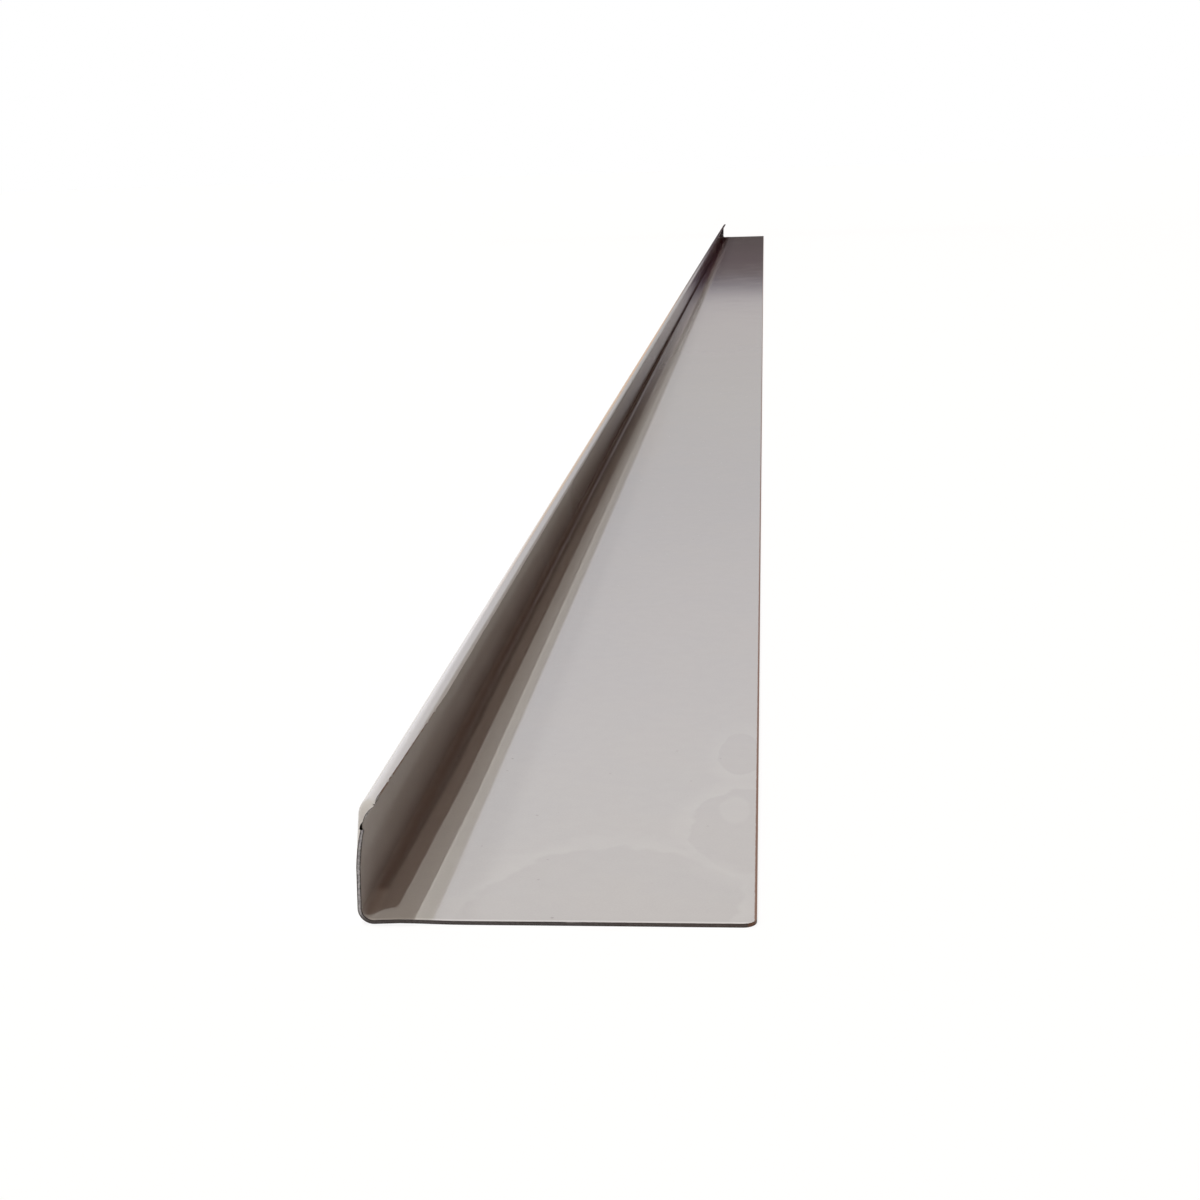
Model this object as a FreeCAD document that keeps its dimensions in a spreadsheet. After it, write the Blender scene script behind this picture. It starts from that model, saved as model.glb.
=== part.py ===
"""A length of folded gutter section: one strip of painted steel sheet with a
wide flat base, one upright wall along its left side and a curled lip along
the wall's top. The lip is trimmed back a little at the near end, and its
corner there is snipped off.

Frame: the origin is the middle of the underside. X runs across the base, away
from the wall. Y runs along the section, away from its near end. Z is up.
Sizes are in millimetres. The sketches measure from the near end of the line
where the planes behind the wall and under the base meet, and the body's
Placement moves that point to its place.
"""

import FreeCAD
import Part
import Sketcher

import math
import os

# What each driving dimension means stands beside it.
SIZES = {
    "section_length": 3000.0,   # near end to far end
    "base_width": 75.0,         # outside of the bend to the free edge of the base
    "section_height": 24.0,     # underside of the base to the top of the lip
    "sheet_thickness": 0.8,
    "bend_radius": 2.2,         # inside radius between base and wall
    "wall_angle": 88.0,         # degrees from the base, so the wall leans in a little
    "lip_radius": 3.0,          # outside radius of the curled lip
    "lip_turn": 124.0,          # degrees that the lip turns in from the wall
    "trim_length": 70.0,        # stretch of lip that is trimmed back at the near end
    "trim_depth": 1.3,          # how far it is trimmed back, at the end itself
    "snip_length": 4.0,         # corner snipped off the lip, along the section
    "snip_depth": 3.2,          # and down from the lip's top
    "corner_radius": 1.5,       # free corners of the base, seen from above
}

START = 1
END = 2
CENTRE = 3
ROOT = -1
X_AXIS = -1
Y_AXIS = -2
TOUCH = 1e-4

doc = FreeCAD.newDocument("gutter_section")
sheet = doc.addObject("Spreadsheet::Sheet", "Sizes")
for row, (name, value) in enumerate(SIZES.items(), start=1):
    sheet.set("A%d" % row, name)
    sheet.set("B%d" % row, str(value))
    sheet.setAlias("B%d" % row, name)
doc.recompute()


def size(name):
    """The value that a cell of the sheet holds."""
    return float(sheet.get(name))


def plane(body, role):
    """One of a body's own origin planes, such as XY_Plane."""
    return next(item for item in body.Origin.OriginFeatures if item.Role == role)


def new_sketch(body, name, role, lift=None):
    """A sketch on one of the body's origin planes, raised by the size 'lift'."""
    sketch = body.newObject("Sketcher::SketchObject", name)
    sketch.AttachmentSupport = (plane(body, role), "")
    sketch.MapMode = "FlatFace"
    if lift:
        sketch.setExpression("AttachmentOffset.Base.z", lift)
    return sketch


def drive(sketch, kind, name, expression, value, *where):
    """Add a named dimension and bind it to the sheet."""
    index = sketch.addConstraint(Sketcher.Constraint(kind, *where, value))
    sketch.renameConstraint(index, name)
    sketch.setExpression("Constraints." + name, expression)


def segment(sketch, start, end):
    """A straight line between two (x, y) points, by its index."""
    line = Part.LineSegment(FreeCAD.Vector(*start, 0), FreeCAD.Vector(*end, 0))
    return sketch.addGeometry(line, False)


def arc(sketch, centre, radius, first, last):
    """An arc that runs counter-clockwise between two angles, by its index."""
    circle = Part.Circle(FreeCAD.Vector(*centre, 0), FreeCAD.Vector(0, 0, 1), radius)
    return sketch.addGeometry(Part.ArcOfCircle(circle, first, last), False)


def polar(centre, radius, angle):
    return (centre[0] + radius * math.cos(angle), centre[1] + radius * math.sin(angle))


def draw_section(body):
    """The outline of the folded sheet, seen from the near end."""
    sketch = new_sketch(body, "Section", "XZ_Plane")
    sheet_t = size("sheet_thickness")
    outer = size("bend_radius") + sheet_t
    lip = size("lip_radius")
    width = size("base_width")
    normal = math.radians(size("wall_angle") + 90.0)
    down = -math.pi / 2

    # Both bends are pairs of concentric arcs. The wall is tangent to the two
    # pairs, so the lip's centre sits straight along it from the bend's.
    bend = (outer, outer)
    lip_z = size("section_height") - lip
    climb = lip_z - bend[1] - (outer - lip) * math.sin(normal)
    slope = 1.0 / math.tan(math.radians(size("wall_angle")))
    lip_centre = (bend[0] + (outer - lip) * math.cos(normal) + climb * slope, lip_z)
    free_edge = normal - math.radians(size("lip_turn"))

    underside = segment(sketch, (bend[0], 0.0), (width, 0.0))
    base_edge = segment(sketch, (width, 0.0), (width, sheet_t))
    base_top = segment(sketch, (width, sheet_t), (bend[0], sheet_t))
    bend_in = arc(sketch, bend, outer - sheet_t, normal, down + 2 * math.pi)
    wall_in = segment(sketch, polar(bend, outer - sheet_t, normal),
                      polar(lip_centre, lip - sheet_t, normal))
    lip_in = arc(sketch, lip_centre, lip - sheet_t, free_edge, normal)
    lip_edge = segment(sketch, polar(lip_centre, lip - sheet_t, free_edge),
                       polar(lip_centre, lip, free_edge))
    lip_out = arc(sketch, lip_centre, lip, free_edge, normal)
    wall_out = segment(sketch, polar(lip_centre, lip, normal),
                       polar(bend, outer, normal))
    bend_out = arc(sketch, bend, outer, normal, down + 2 * math.pi)

    # Square corners of the sheet.
    for first, first_end, second, second_end in (
        (underside, END, base_edge, START),
        (base_edge, END, base_top, START),
        (lip_in, START, lip_edge, START),
        (lip_edge, END, lip_out, START),
    ):
        sketch.addConstraint(
            Sketcher.Constraint("Coincident", first, first_end, second, second_end))

    # Smooth runs from flat to bend.
    for first, first_end, second, second_end in (
        (base_top, END, bend_in, END),
        (bend_in, START, wall_in, START),
        (wall_in, END, lip_in, END),
        (lip_out, END, wall_out, START),
        (wall_out, END, bend_out, START),
        (bend_out, END, underside, START),
    ):
        sketch.addConstraint(
            Sketcher.Constraint("Tangent", first, first_end, second, second_end))

    for inner, outer_arc in ((bend_in, bend_out), (lip_in, lip_out)):
        sketch.addConstraint(
            Sketcher.Constraint("Coincident", inner, CENTRE, outer_arc, CENTRE))
    sketch.addConstraint(Sketcher.Constraint("PointOnObject", underside, END, X_AXIS))
    sketch.addConstraint(Sketcher.Constraint("Horizontal", underside))
    sketch.addConstraint(Sketcher.Constraint("Vertical", base_edge))
    sketch.addConstraint(Sketcher.Constraint("Horizontal", base_top))
    sketch.addConstraint(Sketcher.Constraint("Parallel", wall_in, wall_out))
    sketch.addConstraint(
        Sketcher.Constraint("PointOnObject", lip_out, CENTRE, lip_edge))

    drive(sketch, "DistanceX", "width", "Sizes.base_width", width,
          ROOT, START, underside, END)
    drive(sketch, "DistanceY", "thickness", "Sizes.sheet_thickness", sheet_t,
          base_edge, START, base_edge, END)
    drive(sketch, "DistanceX", "bend_place", "Sizes.bend_radius + Sizes.sheet_thickness",
          outer, ROOT, START, bend_out, CENTRE)
    drive(sketch, "Radius", "bend_outside", "Sizes.bend_radius + Sizes.sheet_thickness",
          outer, bend_out)
    drive(sketch, "Radius", "lip_outside", "Sizes.lip_radius", lip, lip_out)
    drive(sketch, "DistanceY", "lip_height", "Sizes.section_height - Sizes.lip_radius",
          lip_z, ROOT, START, lip_out, CENTRE)
    drive(sketch, "Angle", "turn", "Sizes.lip_turn * 1 deg",
          math.radians(size("lip_turn")), lip_out)
    drive(sketch, "Angle", "lean", "Sizes.wall_angle * 1 deg",
          math.radians(size("wall_angle")), underside, START, wall_out, END)

    # The free edge's place follows from the rest, and the trim reads it.
    reach = polar(lip_centre, lip, free_edge)[0]
    index = sketch.addConstraint(
        Sketcher.Constraint("DistanceX", ROOT, START, lip_out, START, reach))
    sketch.setDriving(index, False)
    sketch.renameConstraint(index, "reach")
    return sketch


def pad_section(body, sketch):
    """The folded strip at its full length, running from Y = 0 to +Y."""
    pad = body.newObject("PartDesign::Pad", "Strip")
    pad.Profile = sketch
    pad.Reversed = True
    pad.setExpression("Length", "Sizes.section_length")
    sketch.Visibility = False
    return pad


def cut(body, name, sketch):
    """Cut a sketched corner away, through everything on its positive side."""
    before = body.Shape.Volume
    pocket = body.newObject("PartDesign::Pocket", name)
    pocket.Profile = sketch
    pocket.Type = "ThroughAll"
    pocket.Reversed = True
    doc.recompute()
    if not body.Shape.Volume < before:
        raise RuntimeError(name + " cuts nothing")
    return pocket


def triangle(sketch, corners):
    """A closed triangle whose three sides are joined, by their indices."""
    sides = [segment(sketch, corners[i], corners[(i + 1) % 3]) for i in range(3)]
    for i in range(3):
        sketch.addConstraint(
            Sketcher.Constraint("Coincident", sides[i], END, sides[(i + 1) % 3], START))
    return sides


def trim_lip(body, section):
    """Take a long thin sliver off the lip's free edge, seen from above."""
    reach = section.getDatum("reach").Value
    depth = size("trim_depth")
    length = size("trim_length")
    sketch = new_sketch(body, "TrimOutline", "XY_Plane", "Sizes.section_height / 2")
    slant, side, front = triangle(
        sketch, ((reach - depth, 0.0), (reach, length), (reach, 0.0)))
    sketch.addConstraint(Sketcher.Constraint("Vertical", side))
    sketch.addConstraint(Sketcher.Constraint("Horizontal", front))
    sketch.addConstraint(Sketcher.Constraint("PointOnObject", slant, START, X_AXIS))
    drive(sketch, "DistanceX", "reach", section.Name + ".Constraints.reach", reach,
          ROOT, START, side, START)
    drive(sketch, "DistanceX", "depth", "Sizes.trim_depth", depth, slant, START, front, START)
    drive(sketch, "DistanceY", "length", "Sizes.trim_length", length, side, END, side, START)
    return cut(body, "LipTrim", sketch)


def snip_corner(body):
    """Snip off the lip's near corner, seen from the side."""
    height = size("section_height")
    depth = size("snip_depth")
    length = size("snip_length")
    sketch = new_sketch(body, "SnipOutline", "YZ_Plane")
    slant, top, end = triangle(
        sketch, ((0.0, height - depth), (length, height), (0.0, height)))
    sketch.addConstraint(Sketcher.Constraint("Horizontal", top))
    sketch.addConstraint(Sketcher.Constraint("Vertical", end))
    sketch.addConstraint(Sketcher.Constraint("PointOnObject", slant, START, Y_AXIS))
    drive(sketch, "DistanceY", "height", "Sizes.section_height", height,
          ROOT, START, top, END)
    drive(sketch, "DistanceX", "length", "Sizes.snip_length", length, top, END, top, START)
    drive(sketch, "DistanceY", "depth", "Sizes.snip_depth", depth, end, END, end, START)
    return cut(body, "CornerSnip", sketch)


def is_base_corner(edge):
    """True for the short upright edges at the two free corners of the base."""
    ends = [vertex.Point for vertex in edge.Vertexes]
    return (len(ends) == 2
            and all(abs(point.x - size("base_width")) < TOUCH for point in ends)
            and abs(ends[0].y - ends[1].y) < TOUCH
            and abs(ends[0].z - ends[1].z) > TOUCH)


def ease_corners(body, feature):
    """Round the free corners of the base a little, seen from above."""
    names = ["Edge%d" % number
             for number, edge in enumerate(feature.Shape.Edges, start=1)
             if is_base_corner(edge)]
    fillet = body.newObject("PartDesign::Fillet", "BaseCorners")
    fillet.Base = (feature, names)
    fillet.setExpression("Radius", "Sizes.corner_radius")
    return fillet


def gutter_section():
    """The whole piece: one strip of sheet, folded, trimmed and snipped."""
    body = doc.addObject("PartDesign::Body", "GutterSection")
    body.Label = "gutter_section"
    body.setExpression("Placement.Base.x", "-Sizes.base_width / 2")
    body.setExpression("Placement.Base.y", "-Sizes.section_length / 2")
    section = draw_section(body)
    pad_section(body, section)
    doc.recompute()
    trim_lip(body, section)
    last_cut = snip_corner(body)
    ease_corners(body, last_cut)
    doc.recompute()
    return body


def check(bodies):
    """Stop before anything is written if the document holds a failure."""
    for item in doc.Objects:
        if {"Invalid", "Error"} & set(item.State):
            raise RuntimeError("%s failed: %s" % (item.Name, item.State))
        if item.TypeId == "Sketcher::SketchObject" and not item.FullyConstrained:
            raise RuntimeError(item.Name + " is not fully constrained")
    for body in bodies:
        shape = body.Shape
        if shape.isNull() or not shape.isValid() or len(shape.Solids) != 1:
            raise RuntimeError(body.Label + " is not one valid solid")


def main():
    bodies = [gutter_section()]
    check(bodies)
    os.makedirs("parts", exist_ok=True)
    for body in bodies:
        body.Shape.exportStep("parts/%s.step" % body.Label)
        box = body.Shape.BoundBox
        print("%s: X %.2f to %.2f, Y %.2f to %.2f, Z %.2f to %.2f, %.0f cubic mm" % (
            body.Label, box.XMin, box.XMax, box.YMin, box.YMax, box.ZMin, box.ZMax,
            body.Shape.Volume))


main()
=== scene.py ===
import math

import bmesh
import bpy
from mathutils import Matrix, Vector, noise


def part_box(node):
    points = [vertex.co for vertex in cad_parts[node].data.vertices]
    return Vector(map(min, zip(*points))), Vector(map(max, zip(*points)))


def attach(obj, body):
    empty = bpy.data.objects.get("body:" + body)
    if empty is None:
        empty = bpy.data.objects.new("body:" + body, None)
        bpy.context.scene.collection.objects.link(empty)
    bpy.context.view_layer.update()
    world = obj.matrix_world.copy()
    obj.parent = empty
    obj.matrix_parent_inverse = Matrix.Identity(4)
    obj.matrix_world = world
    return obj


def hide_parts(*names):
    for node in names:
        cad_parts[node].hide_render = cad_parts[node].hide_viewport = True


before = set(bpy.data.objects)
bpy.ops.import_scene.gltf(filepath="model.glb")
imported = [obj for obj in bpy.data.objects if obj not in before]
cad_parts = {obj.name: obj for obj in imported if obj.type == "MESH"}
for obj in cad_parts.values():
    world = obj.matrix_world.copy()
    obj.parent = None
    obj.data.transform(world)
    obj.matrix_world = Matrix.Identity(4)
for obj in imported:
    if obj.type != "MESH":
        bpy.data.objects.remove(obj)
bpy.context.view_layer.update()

# ---------------------------------------------------------------- sizes, in metres
MM = 0.001
LOW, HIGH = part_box("gutter_section")
NEAR = LOW.y
FAR = HIGH.y

SHEET = 0.8 * MM
# Both radii are the outer skin's.
BEND_RADIUS = 3.0 * MM
LIP_RADIUS = 3.0 * MM
WALL_LEAN = math.radians(2)
LIP_TURN = math.radians(124)
CORNER_RADIUS = 2.6 * MM
TRIM_LENGTH = 70 * MM
TRIM_DEPTH = 1.3 * MM
ARRIS = 0.2 * MM

# The lip's near corner is bent in about a slanting line and nipped off.
FOLD_LOW = Vector((0, NEAR, LOW.z + 15.6 * MM))
FOLD_HIGH = Vector((0, NEAR + 2.1 * MM, HIGH.z - 2 * MM))
FOLD_TURN = math.radians(60)
FOLD_EASE = 1.6 * MM
NIP_POINT = Vector((LOW.x + 3.35 * MM, NEAR + 1.5 * MM, LOW.z + 22.16 * MM))
NIP_FACING = Vector((0.804, -0.030, -0.594)).normalized()

# Small burrs along the trimmed edge: distance from the end, and how far each one hangs.
BURRS = ((13 * MM, 0.25 * MM), (16 * MM, 0.3 * MM), (50 * MM, 0.2 * MM), (58 * MM, 0.25 * MM))

BEND_TURN = math.pi / 2 + WALL_LEAN
BEND_CENTRE = Vector((LOW.x + BEND_RADIUS, 0, LOW.z + BEND_RADIUS))
WALL_OUTWARD = Vector((-math.cos(WALL_LEAN), 0, math.sin(WALL_LEAN)))
WALL_UP = Vector((math.sin(WALL_LEAN), 0, math.cos(WALL_LEAN)))
WALL_RISE = (HIGH.z - LIP_RADIUS - BEND_CENTRE.z) / WALL_UP.z
LIP_CENTRE = BEND_CENTRE + WALL_UP * WALL_RISE + WALL_OUTWARD * (BEND_RADIUS - LIP_RADIUS)
LIP_END = math.pi - WALL_LEAN - LIP_TURN
LIP_REACH = LIP_CENTRE.x + LIP_RADIUS * math.cos(LIP_END)

BASE_CELLS = 28
WALL_CELLS = 24
BEND_STEPS = 12
LIP_STEPS = 22

# Rows across the sheet: where each stretch ends, measured from the trimmed end, and their spacing.
ROW_STRETCHES = (
    (7 * MM, 0.25 * MM),
    (75 * MM, 0.5 * MM),
    (300 * MM, 3 * MM),
    (FAR - NEAR - CORNER_RADIUS, 15 * MM),
)

# Dried water marks on the base, measured from its near left corner: the middle, half the width and
# length, and how wide the pale rim is as a share of those.
WATER_MARKS = (
    ((45.5 * MM, 5.0 * MM), (26.0 * MM, 34.0 * MM), 0.20),
    ((71.0 * MM, 95.0 * MM), (5.5 * MM, 15.0 * MM), 0.75),
    ((73.5 * MM, 48.0 * MM), (13.5 * MM, 24.0 * MM), 0.36),
)
PALE_SPOT = ((70 * MM, 58 * MM), (4 * MM, 10 * MM))

# The studio card: how far beyond the section it stands, its size, and its shades from its foot up.
CARD_GAP = 0.2
CARD_WIDTH = 4.0
CARD_HEIGHT = 2.6
CARD_SHADES = (
    (0.085, (0.01, 0.0, 0.01)),
    (0.103, (0.04, 0.03, 0.07)),
    (0.131, (0.34, 0.32, 0.34)),
    (0.170, (0.38, 0.36, 0.37)),
    (0.332, (0.38, 0.38, 0.40)),
    (0.537, (0.39, 0.40, 0.46)),
    (0.743, (0.48, 0.49, 0.57)),
    (0.966, (0.58, 0.60, 0.71)),
    (1.188, (0.71, 0.74, 0.86)),
    (1.500, (0.84, 0.87, 1.0)),
)


# ---------------------------------------------------------------- modelling helpers
def deselect_all():
    for thing in bpy.context.selected_objects:
        thing.select_set(False)


def add_plane(name, size, location, rotation=(0, 0, 0)):
    """A plane of that size along the world's axes."""
    deselect_all()
    bpy.ops.mesh.primitive_plane_add(size=1, location=location, rotation=rotation)
    plane = bpy.context.object
    plane.name = name
    bpy.ops.transform.resize(value=size)
    bpy.ops.object.transform_apply(location=True, rotation=True, scale=True)
    return plane


def pick(piece, kind, test):
    """In edit mode, selects the vertices, edges or faces that pass the test."""
    bpy.ops.mesh.select_mode(type=kind)
    bpy.ops.mesh.select_all(action="DESELECT")
    mesh = bmesh.from_edit_mesh(piece.data)
    items = {"VERT": mesh.verts, "EDGE": mesh.edges, "FACE": mesh.faces}[kind]
    for item in items:
        if test(item):
            item.select_set(True)
    mesh.select_flush_mode()
    bmesh.update_edit_mesh(piece.data)


def middle(edge):
    return (edge.verts[0].co + edge.verts[1].co) / 2


def runs_along(edge, direction):
    """True if the edge is parallel to that direction."""
    step = edge.verts[1].co - edge.verts[0].co
    return abs(step.dot(direction)) > 0.9999 * step.length


def smooth(start, end, value):
    """Runs from 0 to 1 while the value goes from start to end."""
    share = min(1, max(0, (value - start) / (end - start)))
    return share * share * (3 - 2 * share)


def slice_across(point, normal):
    """Cuts every face with a plane and keeps both sides."""
    bpy.ops.mesh.select_all(action="SELECT")
    bpy.ops.mesh.bisect(plane_co=point, plane_no=normal, threshold=1e-7)


def trim_off(piece, point, normal, test):
    """Cuts the faces that pass the test with a plane and takes away what lies on its normal's side."""
    pick(piece, "FACE", test)
    bpy.ops.mesh.bisect(plane_co=point, plane_no=normal, clear_outer=True, threshold=1e-7)


# ---------------------------------------------------------------- the folded sheet
def lay_base():
    """The flat underside, facing down, with its two free corners rounded."""
    flat = HIGH.x - BEND_CENTRE.x
    centre = (HIGH.x - flat / 2, (NEAR + FAR) / 2, LOW.z)
    piece = add_plane("folded_gutter_section", (flat, FAR - NEAR, 1), centre)
    bpy.ops.object.mode_set(mode="EDIT")
    bpy.ops.mesh.flip_normals()
    pick(piece, "VERT", lambda v: v.co.x > HIGH.x - MM)
    bpy.ops.mesh.bevel(affect="VERTICES", offset=CORNER_RADIUS, segments=8)
    return piece


def fold_up(piece):
    """Turns the bend, raises the wall and curls the lip, each from the edge where the last one ends."""
    along = Vector((0, 1, 0))
    pick(piece, "EDGE", lambda e: runs_along(e, along) and middle(e).x < BEND_CENTRE.x + 0.1 * MM)
    bpy.ops.mesh.spin(steps=BEND_STEPS, angle=-BEND_TURN, center=BEND_CENTRE, axis=along)
    bpy.ops.mesh.extrude_region_move(TRANSFORM_OT_translate={"value": WALL_UP * WALL_RISE})
    bpy.ops.mesh.spin(steps=LIP_STEPS, angle=-LIP_TURN, center=LIP_CENTRE, axis=along)


def divide(piece):
    """Divides the long faces into rows and columns, fine at the trimmed end."""
    across = Vector((1, 0, 0))
    along = Vector((0, 1, 0))
    slice_across((HIGH.x - CORNER_RADIUS, 0, 0), across)
    slice_across((0, FAR - CORNER_RADIUS, 0), along)
    slice_across((0, NEAR + CORNER_RADIUS, 0), along)
    for end, _ in ROW_STRETCHES[:-1]:
        slice_across((0, NEAR + end, 0), along)
    pick(
        piece,
        "EDGE",
        lambda e: runs_along(e, across) and middle(e).x < HIGH.x - 2 * CORNER_RADIUS,
    )
    bpy.ops.mesh.subdivide(number_cuts=BASE_CELLS - 1)
    pick(piece, "EDGE", lambda e: runs_along(e, WALL_UP) and e.calc_length() > MM)
    bpy.ops.mesh.subdivide(number_cuts=WALL_CELLS - 1)
    start = CORNER_RADIUS
    for end, spacing in ((CORNER_RADIUS, 0.5 * MM), *ROW_STRETCHES):
        low = NEAR + (start if end > start else 0)
        high = NEAR + end
        pick(
            piece,
            "EDGE",
            lambda e: runs_along(e, along) and low < middle(e).y < high and e.calc_length() > spacing,
        )
        bpy.ops.mesh.subdivide(number_cuts=max(1, round((high - low) / spacing) - 1))
        start = max(end, CORNER_RADIUS)


def trim_lip(piece):
    """Cuts the lip's edge back at a slant towards the end."""
    slant = Vector((TRIM_LENGTH, -TRIM_DEPTH, 0)).normalized()
    trim_off(
        piece,
        (LIP_REACH - TRIM_DEPTH, NEAR, 0),
        slant,
        lambda f: f.calc_center_median().z > LIP_CENTRE.z
        and f.calc_center_median().x > LIP_CENTRE.x - MM
        and f.calc_center_median().y < NEAR + TRIM_LENGTH + MM,
    )
    bpy.ops.mesh.select_all(action="SELECT")
    bpy.ops.mesh.remove_doubles(threshold=0.01 * MM)


def turn_in_corner(piece):
    """Bends the near corner of the wall inwards about a slanting line; the lip's edge hardly moves."""
    line = (FOLD_HIGH - FOLD_LOW).normalized()
    away = Vector((0, -line.z, line.y))
    for vertex in piece.data.vertices:
        if vertex.co.z < FOLD_LOW.z - 4 * MM or vertex.co.y > NEAR + 6 * MM:
            continue
        reach = (vertex.co - FOLD_LOW).dot(away)
        if reach < -FOLD_EASE:
            continue
        eased = reach if reach > FOLD_EASE else (reach + FOLD_EASE) ** 2 / (4 * FOLD_EASE)
        held = smooth(LIP_CENTRE.x - 2 * MM, LIP_CENTRE.x + 0.4 * MM, vertex.co.x)
        vertex.co.x += eased * math.sin(FOLD_TURN) * (1 - 0.9 * held)
        vertex.co -= away * eased * (1 - math.cos(FOLD_TURN))


def roughen_lip_edge(piece):
    """Leaves the hand-cut stretch of the lip's edge slightly wavy, with a few burrs hanging from it."""
    mesh = bmesh.new()
    mesh.from_mesh(piece.data)
    for vertex in mesh.verts:
        along = vertex.co.y - NEAR
        if not vertex.is_boundary or vertex.co.z < HIGH.z - MM or vertex.co.x < LIP_CENTRE.x:
            continue
        if not MM < along < TRIM_LENGTH:
            continue
        wave = 0.07 * MM * noise.noise(Vector((along / (3 * MM), 0, 0)))
        for place, hang in BURRS:
            wave += hang * math.exp(-(((along - place) / (0.7 * MM)) ** 2))
        vertex.co += Vector((wave * 0.6, 0, -wave * 0.8))
    mesh.to_mesh(piece.data)
    mesh.free()


def settle_base(piece):
    """Bows the base up a little beside the bend, and gives it the slight waves of a long thin strip."""
    height = HIGH.z - LOW.z
    for vertex in piece.data.vertices:
        across = vertex.co.x - LOW.x
        along = vertex.co.y - NEAR
        bow = smooth(3 * MM, 8 * MM, across) * smooth(20 * MM, 8 * MM, across)
        bow *= 0.14 * MM + 0.08 * MM * smooth(400 * MM, 0, along)
        wave = 0.5 + 0.5 * noise.noise(Vector((across / (60 * MM), along / (170 * MM), 2.5)))
        wave *= 0.05 * MM * smooth(15 * MM, 45 * MM, across)
        vertex.co.z += (bow + wave) * (1 - (vertex.co.z - LOW.z) / height)


def build_section():
    piece = lay_base()
    fold_up(piece)
    divide(piece)
    trim_lip(piece)
    bpy.ops.object.mode_set(mode="OBJECT")
    turn_in_corner(piece)
    roughen_lip_edge(piece)
    settle_base(piece)
    return piece


def mark_depth(piece, skin):
    """Stores how deep in the sheet each point lies: 0 on the outer skin and 1 on the inner one."""
    depth = piece.data.attributes.new("sheet_depth", "FLOAT", "POINT")
    for index, entry in enumerate(depth.data):
        entry.value = 0 if index < skin else 1


def nip_corner(piece):
    """Takes the sharp end of the bent lip off with one straight cut, and closes the cut."""
    bpy.ops.object.mode_set(mode="EDIT")
    pick(
        piece,
        "FACE",
        lambda f: f.calc_center_median().z > LOW.z + 19.5 * MM
        and f.calc_center_median().y < NEAR + 5 * MM,
    )
    bpy.ops.mesh.bisect(
        plane_co=NIP_POINT,
        plane_no=NIP_FACING,
        clear_outer=True,
        use_fill=True,
        threshold=1e-7,
    )
    pick(
        piece,
        "FACE",
        lambda f: f.normal.dot(NIP_FACING) > 0.999
        and abs((f.calc_center_median() - NIP_POINT).dot(NIP_FACING)) < 0.01 * MM,
    )
    piece.active_material_index = 1
    bpy.ops.object.material_slot_assign()
    bpy.ops.mesh.select_all(action="SELECT")
    bpy.ops.mesh.remove_doubles(threshold=0.002 * MM)
    bpy.ops.object.mode_set(mode="OBJECT")


def give_thickness(piece):
    """Thickens the sheet inwards, puts its cut edges in the second material and eases its arrises."""
    skin = len(piece.data.vertices)
    solid = piece.modifiers.new("sheet thickness", "SOLIDIFY")
    solid.thickness = SHEET
    solid.offset = -1
    solid.use_even_offset = True
    solid.material_offset_rim = 1
    bpy.ops.object.modifier_apply(modifier=solid.name)
    mark_depth(piece, skin)
    nip_corner(piece)
    ease = piece.modifiers.new("eased arrises", "BEVEL")
    ease.width = ARRIS
    ease.segments = 2
    ease.limit_method = "ANGLE"
    ease.angle_limit = math.radians(50)
    ease.use_clamp_overlap = True
    ease.material = 1
    bpy.ops.object.modifier_apply(modifier=ease.name)
    bpy.ops.object.shade_smooth_by_angle(angle=math.radians(20))


# ---------------------------------------------------------------- finishes
def add(tree, kind, inputs=None, **settings):
    """A node with those settings; an input given as a socket is linked, and any other is set."""
    node = tree.nodes.new(kind)
    for name, value in settings.items():
        setattr(node, name, value)
    for name, value in (inputs or {}).items():
        if isinstance(value, bpy.types.NodeSocket):
            tree.links.new(value, node.inputs[name])
        else:
            node.inputs[name].default_value = value
    return node


def new_finish(name):
    """A material with its node tree and its shader."""
    finish = bpy.data.materials.new(name)
    finish.use_nodes = True
    return finish, finish.node_tree, finish.node_tree.nodes["Principled BSDF"]


def grain(tree, place, scale, detail=2.0, distortion=0.0):
    """Noise between about 0 and 1, with that many waves to the metre."""
    inputs = {"Vector": place, "Scale": scale, "Detail": detail, "Distortion": distortion}
    return add(tree, "ShaderNodeTexNoise", inputs).outputs["Fac"]


def fade(tree, value, start, end, low=0.0, high=1.0):
    """Runs smoothly from low to high while the value goes from start to end."""
    inputs = {"Value": value, "From Min": start, "From Max": end, "To Min": low, "To Max": high}
    return add(tree, "ShaderNodeMapRange", inputs, interpolation_type="SMOOTHSTEP").outputs[0]


def calculate(tree, operation, first, second=0.0, third=0.0):
    inputs = {0: first, 1: second, 2: third}
    return add(tree, "ShaderNodeMath", inputs, operation=operation).outputs[0]


def blend(tree, share, first, second, mode="MIX"):
    """One colour laid over another by that share."""
    node = add(tree, "ShaderNodeMix", data_type="RGBA", blend_type=mode)
    for index, value in ((0, share), (6, first), (7, second)):
        if isinstance(value, bpy.types.NodeSocket):
            tree.links.new(value, node.inputs[index])
        else:
            node.inputs[index].default_value = value
    return node.outputs[2]


def ring(tree, place, centre, radii, wander):
    """Distance from an oval's middle, as a share of its radii, with a wandering outline."""
    inputs = {
        "Vector": place,
        "Location": (-(LOW.x + centre[0]) / radii[0], -(NEAR + centre[1]) / radii[1], 0),
        "Scale": (1 / radii[0], 1 / radii[1], 0),
    }
    moved = add(tree, "ShaderNodeMapping", inputs).outputs[0]
    reach = add(tree, "ShaderNodeVectorMath", {0: moved}, operation="LENGTH").outputs["Value"]
    return calculate(tree, "MULTIPLY_ADD", wander, 0.5, reach)


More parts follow.
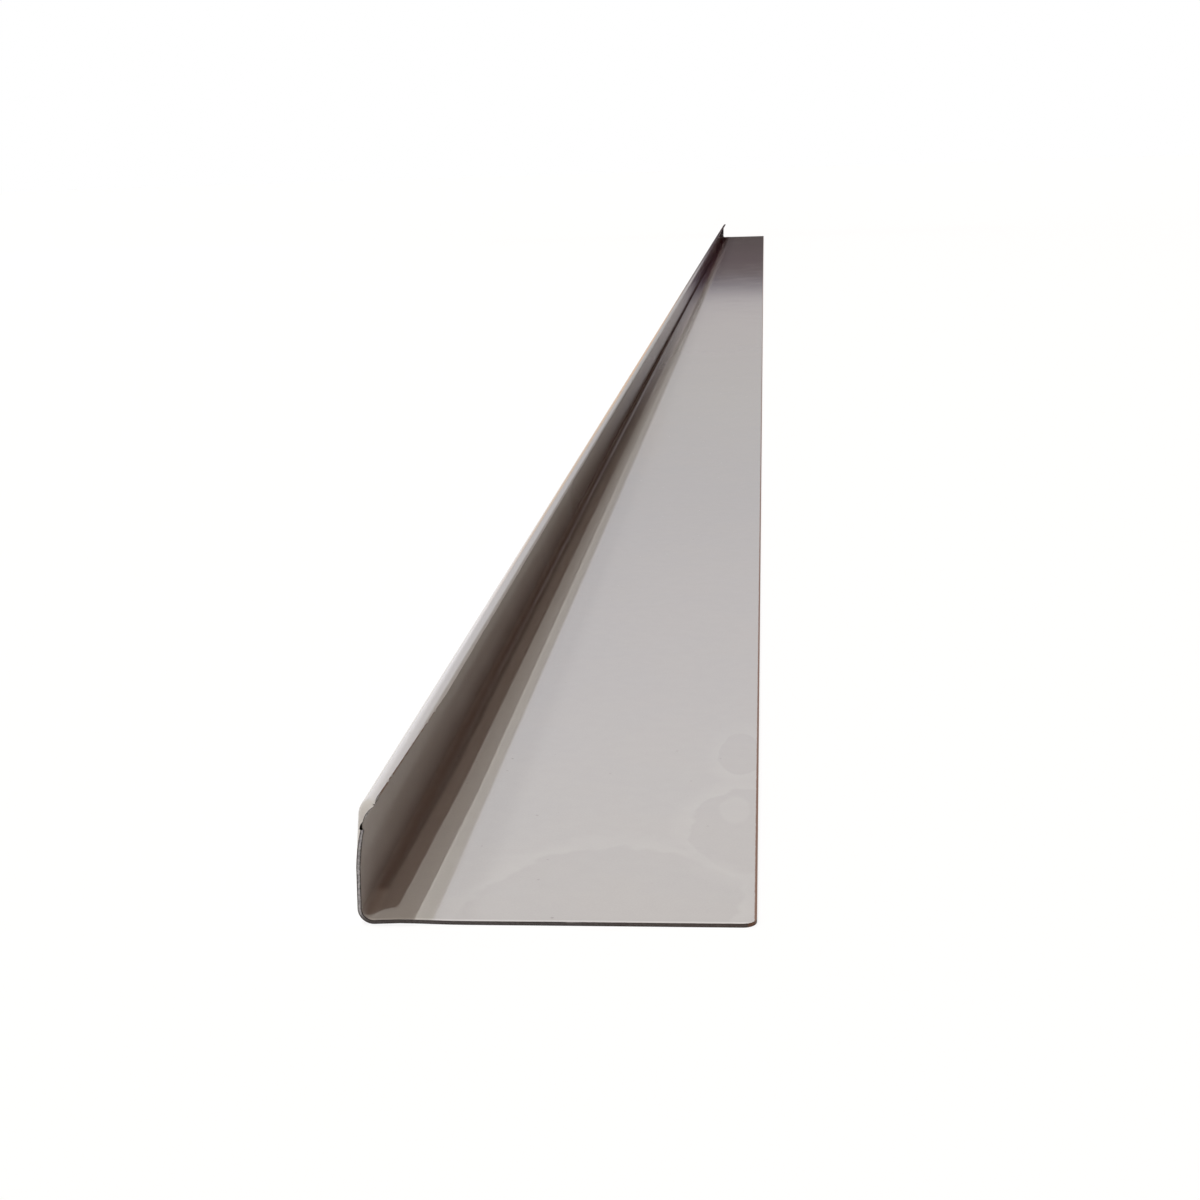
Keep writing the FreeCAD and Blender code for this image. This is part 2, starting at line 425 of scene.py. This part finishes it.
def coil_coating():
    """Warm grey gloss paint with orange peel, dried water marks, specks and worn edges, and with painted
    light and shade: a darker far part, a shade beside the bend and a highlight by the near end.
    """
    finish, tree, shader = new_finish("warm_grey_coil_coating")
    place = add(tree, "ShaderNodeTexCoord").outputs["Object"]
    parts = add(tree, "ShaderNodeSeparateXYZ", {0: place})
    across = parts.outputs["X"]
    along = parts.outputs["Y"]
    up = parts.outputs["Z"]

    # Paint: slow drift along the strip, mottling and the grain of the pigment.
    drift = grain(tree, place, 11, 3)
    mottle = grain(tree, place, 260, 2)
    pigment = grain(tree, place, 2300, 2)
    tone = calculate(tree, "MULTIPLY_ADD", drift, 0.03, 0.94)
    tone = calculate(tree, "MULTIPLY_ADD", mottle, 0.045, tone)
    tone = calculate(tree, "MULTIPLY_ADD", pigment, 0.09, tone)
    warmth = fade(tree, grain(tree, place, 45, 2), 0.35, 0.65)
    paint = blend(tree, warmth, (0.431, 0.421, 0.408, 1), (0.427, 0.419, 0.409, 1))
    paint = blend(tree, 1.0, paint, tone, "MULTIPLY")

    # Dried water marks by the near corner: slightly darker inside, with a paler rim.
    base = fade(tree, up, LOW.z + 1.2 * MM, LOW.z + 0.9 * MM)
    wander = calculate(tree, "SUBTRACT", grain(tree, place, 70, 3), 0.5)
    inside = 0.0
    rim = 0.0
    for centre, radii, width in WATER_MARKS:
        reach = ring(tree, place, centre, radii, wander)
        inner = fade(tree, reach, 1.01, 0.95)
        outer = calculate(
            tree, "MULTIPLY", fade(tree, reach, 1 + width, 1.0), fade(tree, reach, 0.95, 1.01))
        inside = calculate(tree, "MAXIMUM", inner, inside)
        rim = calculate(tree, "MAXIMUM", outer, rim)
    rim = calculate(tree, "MULTIPLY", rim, fade(tree, grain(tree, place, 60, 2), 0.25, 0.6, 0.35, 1.0))
    spot = ring(tree, place, *PALE_SPOT, wander)
    pale = calculate(tree, "MAXIMUM", rim, fade(tree, spot, 1.0, 0.7))
    inside = calculate(tree, "MULTIPLY", inside, base)
    pale = calculate(tree, "MULTIPLY", pale, base)
    paint = blend(tree, calculate(tree, "MULTIPLY", inside, 0.06), paint, (0.30, 0.28, 0.27, 1))
    paint = blend(tree, calculate(tree, "MULTIPLY", pale, 0.09), paint, (0.66, 0.65, 0.64, 1))

    # Specks of dust and pinholes.
    cells = add(tree, "ShaderNodeTexVoronoi", {"Vector": place, "Scale": 210.0})
    speck = fade(tree, cells.outputs["Distance"], 0.075, 0.04)
    chance = add(tree, "ShaderNodeSeparateColor", {0: cells.outputs["Color"]}).outputs[0]
    speck = calculate(tree, "MULTIPLY", speck, fade(tree, chance, 0.55, 0.62))
    paint = blend(tree, calculate(tree, "MULTIPLY", speck, 0.55), paint, (0.07, 0.055, 0.05, 1))

    # A painted reflection darkens the far part of the strip with a mauve cast, and a painted shade
    # darkens and browns the base beside the bend from the middle of the strip on.
    far_painted_reflection = fade(tree, along, NEAR + 1550 * MM, NEAR + 2300 * MM)
    paint = blend(tree, far_painted_reflection, paint, (0.80, 0.72, 0.77, 1), "MULTIPLY")
    # Painted shade: the base beside the bend is darker and browner from the middle of the strip on.
    bend_painted_shade = calculate(
        tree,
        "MULTIPLY",
        fade(tree, across, LOW.x + 13 * MM, LOW.x + 4 * MM),
        fade(tree, along, NEAR + 550 * MM, NEAR + 1200 * MM),
    )
    bend_painted_shade = calculate(tree, "MULTIPLY", bend_painted_shade, fade(tree, up, LOW.z + 4 * MM, LOW.z + 1.5 * MM))
    paint = blend(tree, bend_painted_shade, paint, (0.84, 0.72, 0.62, 1), "MULTIPLY")

    # A painted highlight: the base's paint is paler in a thin band beside its near end.
    painted_edge_highlight = calculate(tree, "MULTIPLY", fade(tree, along, NEAR + 0.9 * MM, NEAR + 0.45 * MM), base)
    paint = blend(tree, calculate(tree, "MULTIPLY", painted_edge_highlight, 0.5), paint, (0.64, 0.64, 0.63, 1))

    # Rust creeps under the paint along the base's free edge.
    nibble = calculate(tree, "MULTIPLY", grain(tree, place, 900, 3), 0.22 * MM)
    side = calculate(tree, "ADD", across, nibble)
    worn = fade(tree, side, HIGH.x - 0.46 * MM, HIGH.x - 0.26 * MM)
    paint = blend(tree, calculate(tree, "MULTIPLY", worn, 0.92), paint, (0.14, 0.055, 0.018, 1))
    tree.links.new(paint, shader.inputs["Base Color"])

    # Gloss: handling dulls it in patches, and the water marks and worn edges more.
    handled = fade(tree, grain(tree, place, 26, 4, 0.6), 0.42, 0.72)
    dull = calculate(tree, "MULTIPLY_ADD", handled, 0.022, 0.058)
    dull = calculate(tree, "MULTIPLY_ADD", mottle, 0.012, dull)
    dull = calculate(tree, "MULTIPLY_ADD", pale, 0.02, dull)
    dull = calculate(tree, "MULTIPLY_ADD", worn, 0.35, dull)
    dull = calculate(tree, "MULTIPLY_ADD", speck, 0.3, dull)
    tree.links.new(dull, shader.inputs["Roughness"])
    shader.inputs["IOR"].default_value = 1.5

    # Dust in the crease takes the shine off it, and the shine is lowered too under the painted shade
    # beside the bend.
    crease = fade(tree, across, LOW.x + 3.9 * MM, LOW.x + 2.8 * MM)
    crease = calculate(tree, "MULTIPLY", crease, fade(tree, up, LOW.z + 3.2 * MM, LOW.z + 2.2 * MM))
    crease = calculate(tree, "MAXIMUM", crease, calculate(tree, "MULTIPLY", bend_painted_shade, 0.6))
    shine = calculate(tree, "MULTIPLY_ADD", crease, -0.4, 0.5)
    tree.links.new(shine, shader.inputs["Specular IOR Level"])

    # Orange peel, the long ripple of the rolled strip, fine scuffs and the specks' relief.
    peel = grain(tree, place, 620, 1)
    strokes = add(tree, "ShaderNodeMapping", {"Vector": place, "Scale": (1, 0.04, 1)}).outputs[0]
    scuff = fade(tree, grain(tree, strokes, 2600, 1), 0.66, 0.74)
    scuff = calculate(tree, "MULTIPLY", scuff, handled)
    relief = calculate(tree, "MULTIPLY", peel, 0.0022 * MM)
    relief = calculate(tree, "MULTIPLY_ADD", scuff, -0.0007 * MM, relief)
    relief = calculate(tree, "MULTIPLY_ADD", speck, 0.02 * MM, relief)
    bump = add(tree, "ShaderNodeBump", {"Height": relief, "Distance": 1.0, "Strength": 1.0})
    tree.links.new(bump.outputs[0], shader.inputs["Normal"])
    return finish


def cut_steel():
    """The sheared edge: a grey core between near-black bands, with painted shade low down, a painted
    brown reflection towards the free corner and a painted highlight on its upper arris.
    """
    finish, tree, shader = new_finish("sheared_steel_edge")
    place = add(tree, "ShaderNodeTexCoord").outputs["Object"]
    parts = add(tree, "ShaderNodeSeparateXYZ", {0: place})
    depth = add(tree, "ShaderNodeAttribute", attribute_name="sheet_depth").outputs["Fac"]
    normal = add(tree, "ShaderNodeNewGeometry").outputs["Normal"]
    facing = add(tree, "ShaderNodeSeparateXYZ", {0: normal})

    # The shear leaves strokes across the sheet, and the core shows between two near-black bands, which
    # stand for the coats and partly for painted shade along the arrises.
    strokes = grain(tree, place, 1900, 3, 0.4)
    ragged = calculate(tree, "MULTIPLY_ADD", grain(tree, place, 1300, 3), 0.24, depth)
    core = calculate(
        tree, "MULTIPLY", fade(tree, ragged, 0.26, 0.40), fade(tree, ragged, 0.94, 0.80))
    steel = blend(tree, fade(tree, strokes, 0.3, 0.7), (0.22, 0.215, 0.22, 1), (0.42, 0.41, 0.42, 1))
    coat_and_shade = blend(tree, fade(tree, strokes, 0.4, 0.6), (0.030, 0.024, 0.023, 1), (0.060, 0.049, 0.046, 1))
    colour = blend(tree, core, coat_and_shade, steel)

    # Painted shade darkens the edge near the floor, and a painted brown reflection tints it towards the
    # free corner.
    low = fade(tree, parts.outputs["Z"], LOW.z + 2.5 * MM, LOW.z + 0.5 * MM)
    painted_brown_reflection = calculate(tree, "MULTIPLY", low, fade(tree, parts.outputs["X"], 0.0, HIGH.x, 0.35, 0.95))
    colour = blend(tree, calculate(tree, "MULTIPLY", low, 0.85), colour, (0.022, 0.019, 0.020, 1))
    colour = blend(tree, calculate(tree, "MULTIPLY", painted_brown_reflection, 0.35), colour, (0.070, 0.034, 0.017, 1))

    # The base's free edge and the lip's are brown with rust, except at the bent corner.
    clear = calculate(
        tree,
        "MAXIMUM",
        fade(tree, parts.outputs["Y"], NEAR + 4 * MM, NEAR + 9 * MM),
        fade(tree, parts.outputs["Z"], LOW.z + 4 * MM, LOW.z + 2 * MM),
    )
    rusty = calculate(tree, "MULTIPLY", fade(tree, facing.outputs["X"], 0.25, 0.55), clear)
    colour = blend(tree, calculate(tree, "MULTIPLY", rusty, 0.9), colour, (0.13, 0.055, 0.024, 1))
    # A painted highlight makes the base's upper arris bright at its near end.
    painted_edge_highlight = calculate(
        tree, "MULTIPLY", fade(tree, facing.outputs["Z"], 0.1, 0.35), fade(tree, depth, 0.6, 0.9))
    painted_edge_highlight = calculate(tree, "MULTIPLY", painted_edge_highlight, fade(tree, rusty, 0.4, 0.0))
    patchy = fade(tree, grain(tree, place, 500, 3), 0.2, 0.4, 0.3, 1.0)
    painted_edge_highlight = calculate(tree, "MULTIPLY", painted_edge_highlight, patchy)
    colour = blend(tree, painted_edge_highlight, colour, (0.86, 0.85, 0.86, 1))
    tree.links.new(colour, shader.inputs["Base Color"])

    shader.inputs["Specular IOR Level"].default_value = 0.25
    metal = calculate(tree, "MULTIPLY", core, calculate(tree, "SUBTRACT", 1.0, low))
    metal = calculate(tree, "MULTIPLY", metal, calculate(tree, "SUBTRACT", 1.0, rusty))
    tree.links.new(calculate(tree, "MULTIPLY", metal, 0.55), shader.inputs["Metallic"])
    dull = calculate(tree, "MULTIPLY_ADD", strokes, 0.25, 0.35)
    dull = calculate(tree, "MULTIPLY_ADD", painted_edge_highlight, -0.1, dull)
    tree.links.new(dull, shader.inputs["Roughness"])
    relief = calculate(tree, "MULTIPLY", strokes, 0.05 * MM)
    bump = add(tree, "ShaderNodeBump", {"Height": relief, "Distance": 1.0, "Strength": 0.8})
    tree.links.new(bump.outputs[0], shader.inputs["Normal"])
    return finish


# ---------------------------------------------------------------- the studio
def light_path_white(tree):
    """A factor that is 1 where the background is seen directly, in gloss or through glass."""
    path = add(tree, "ShaderNodeLightPath").outputs
    seen = calculate(tree, "MAXIMUM", path["Is Camera Ray"], path["Is Glossy Ray"])
    return calculate(tree, "MAXIMUM", seen, path["Is Transmission Ray"])


def mix_shaders(tree, share, first, second, output):
    """Sends a mix of two shaders to that output node."""
    mix = add(tree, "ShaderNodeMixShader", {0: share, 1: first.outputs[0], 2: second.outputs[0]})
    tree.links.new(mix.outputs[0], tree.nodes[output].inputs["Surface"])


def hang_background():
    """White where it is seen; its light is soft and warm, stronger from the left."""
    world = bpy.data.worlds.new("soft_studio")
    world.use_nodes = True
    bpy.context.scene.world = world
    tree = world.node_tree
    soft = tree.nodes["Background"]
    direction = add(tree, "ShaderNodeTexCoord").outputs["Generated"]
    sideways = add(tree, "ShaderNodeSeparateXYZ", {0: direction}).outputs["X"]
    right = fade(tree, sideways, -0.5, 0.35)
    colour = blend(tree, right, (0.40, 0.33, 0.27, 1), (0.10, 0.038, 0.018, 1))
    tree.links.new(colour, soft.inputs["Color"])
    soft.inputs["Strength"].default_value = 1.0
    white = add(tree, "ShaderNodeBackground", {"Color": (1, 1, 1, 1), "Strength": 1.0})
    mix_shaders(tree, light_path_white(tree), soft, white, "World Output")


def lay_floor():
    """A wide floor, nearly as white as the background, that still takes the section's shadow."""
    floor = add_plane("studio_floor", (60, 60, 1), (0, 0, LOW.z - 0.05 * MM))
    finish, tree, paint = new_finish("pale_studio_floor")
    paint.inputs["Base Color"].default_value = (0.95, 0.95, 0.95, 1)
    paint.inputs["Roughness"].default_value = 0.9
    glow = add(tree, "ShaderNodeEmission", {"Color": (1, 1, 1, 1), "Strength": 1.0})
    share = calculate(tree, "MULTIPLY", light_path_white(tree), 0.85)
    mix_shaders(tree, share, paint, glow, "Material Output")
    floor.data.materials.append(finish)


def aim_lamp(name, travel, strength, colour, angle):
    """A distant lamp whose light travels in that direction."""
    data = bpy.data.lights.new(name, "SUN")
    data.energy = strength
    data.color = colour
    data.angle = math.radians(angle)
    lamp = bpy.data.objects.new(name, data)
    bpy.context.scene.collection.objects.link(lamp)
    lamp.rotation_mode = "QUATERNION"
    lamp.rotation_quaternion = Vector(travel).to_track_quat("-Z", "Y")


def light_studio():
    aim_lamp("lamp_left", (5.72, -1.7, -20), 1.42, (0.975, 1.0, 0.99), 0.5)
    aim_lamp("lamp_front_left", (2.01, 4.06, -20), 0.89, (1.0, 1.0, 0.95), 0.5)
    aim_lamp("lamp_front", (-1.08, 12.1, -20), 0.34, (1.0, 0.80, 0.66), 0.5)
    aim_lamp("lamp_far_left", (14.5, -1.0, -20), 0.36, (1.0, 1.0, 1.0), 8.0)


def show_only_to_gloss(thing):
    """Keeps a studio piece out of the picture and the light, but lets the gloss reflect it."""
    thing.visible_camera = False
    thing.visible_diffuse = False
    thing.visible_shadow = False


def stand_card():
    """A card beyond the far end, dark at its foot, which only the gloss of the coating sees."""
    card = add_plane(
        "studio_card",
        (CARD_WIDTH, 1, CARD_HEIGHT),
        (0, FAR + CARD_GAP, CARD_HEIGHT / 2),
        (math.pi / 2, 0, 0),
    )
    finish, tree, _ = new_finish("graded_card")
    place = add(tree, "ShaderNodeTexCoord").outputs["Object"]
    parts = add(tree, "ShaderNodeSeparateXYZ", {0: place})
    level = calculate(tree, "DIVIDE", parts.outputs["Z"], CARD_HEIGHT)
    ramp = add(tree, "ShaderNodeValToRGB", {0: level})
    stops = ramp.color_ramp.elements
    stops[0].position = 0.0
    stops[0].color = (0.0, 0.0, 0.0, 1)
    stops[1].position = 1.0
    stops[1].color = (*CARD_SHADES[-1][1], 1)
    for tall, shade in CARD_SHADES:
        stop = stops.new(tall / CARD_HEIGHT)
        stop.color = (*shade, 1)

    # It is black to the right of the section, tan low down on its left and plain white well to its left.
    tan = calculate(
        tree,
        "MULTIPLY",
        fade(tree, parts.outputs["X"], -0.14, -0.28),
        fade(tree, parts.outputs["Z"], 0.5, 0.25),
    )
    colour = blend(tree, tan, ramp.outputs[0], (0.62, 0.42, 0.28, 1))
    bright = fade(tree, parts.outputs["X"], -0.65, -1.1)
    colour = blend(tree, bright, colour, (0.98, 0.98, 1.08, 1))
    dim = fade(tree, parts.outputs["X"], 0.20, 0.05, 0.0, 1.2)
    glow = add(tree, "ShaderNodeEmission", {"Color": colour, "Strength": dim})
    tree.links.new(glow.outputs[0], tree.nodes["Material Output"].inputs["Surface"])
    card.data.materials.append(finish)
    show_only_to_gloss(card)


def lay_apron():
    """A black cloth on the floor, from just beyond the far end to the card's foot."""
    start = 2 * MM
    centre = (0, FAR + (start + CARD_GAP) / 2, LOW.z - 0.03 * MM)
    apron = add_plane("studio_apron", (1, CARD_GAP - start, 1), centre)
    finish, _, cloth = new_finish("black_cloth")
    cloth.inputs["Base Color"].default_value = (0.01, 0.01, 0.01, 1)
    cloth.inputs["Roughness"].default_value = 0.95
    cloth.inputs["Specular IOR Level"].default_value = 0.0
    apron.data.materials.append(finish)
    show_only_to_gloss(apron)


def place_camera():
    data = bpy.data.cameras.new("camera")
    data.sensor_width = 36
    data.lens = 52.08
    data.clip_start = 0.01
    data.clip_end = 100
    camera = bpy.data.objects.new("camera", data)
    bpy.context.scene.collection.objects.link(camera)
    right = Vector((0.99534, 0.09141, -0.03082))
    up = Vector((0.00754, 0.24476, 0.96955))
    back = Vector((0.09617, -0.96526, 0.24293))
    turned = Matrix((right, up, back)).transposed().to_4x4()
    camera.matrix_world = Matrix.Translation((0.0399255, -1.7975595, 0.1376332)) @ turned
    bpy.context.scene.camera = camera


section = build_section()
section.data.materials.append(coil_coating())
section.data.materials.append(cut_steel())
give_thickness(section)
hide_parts("gutter_section")
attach(section, "root")
hang_background()
lay_floor()
stand_card()
lay_apron()
light_studio()
place_camera()
bpy.context.scene.view_settings.view_transform = "Standard"
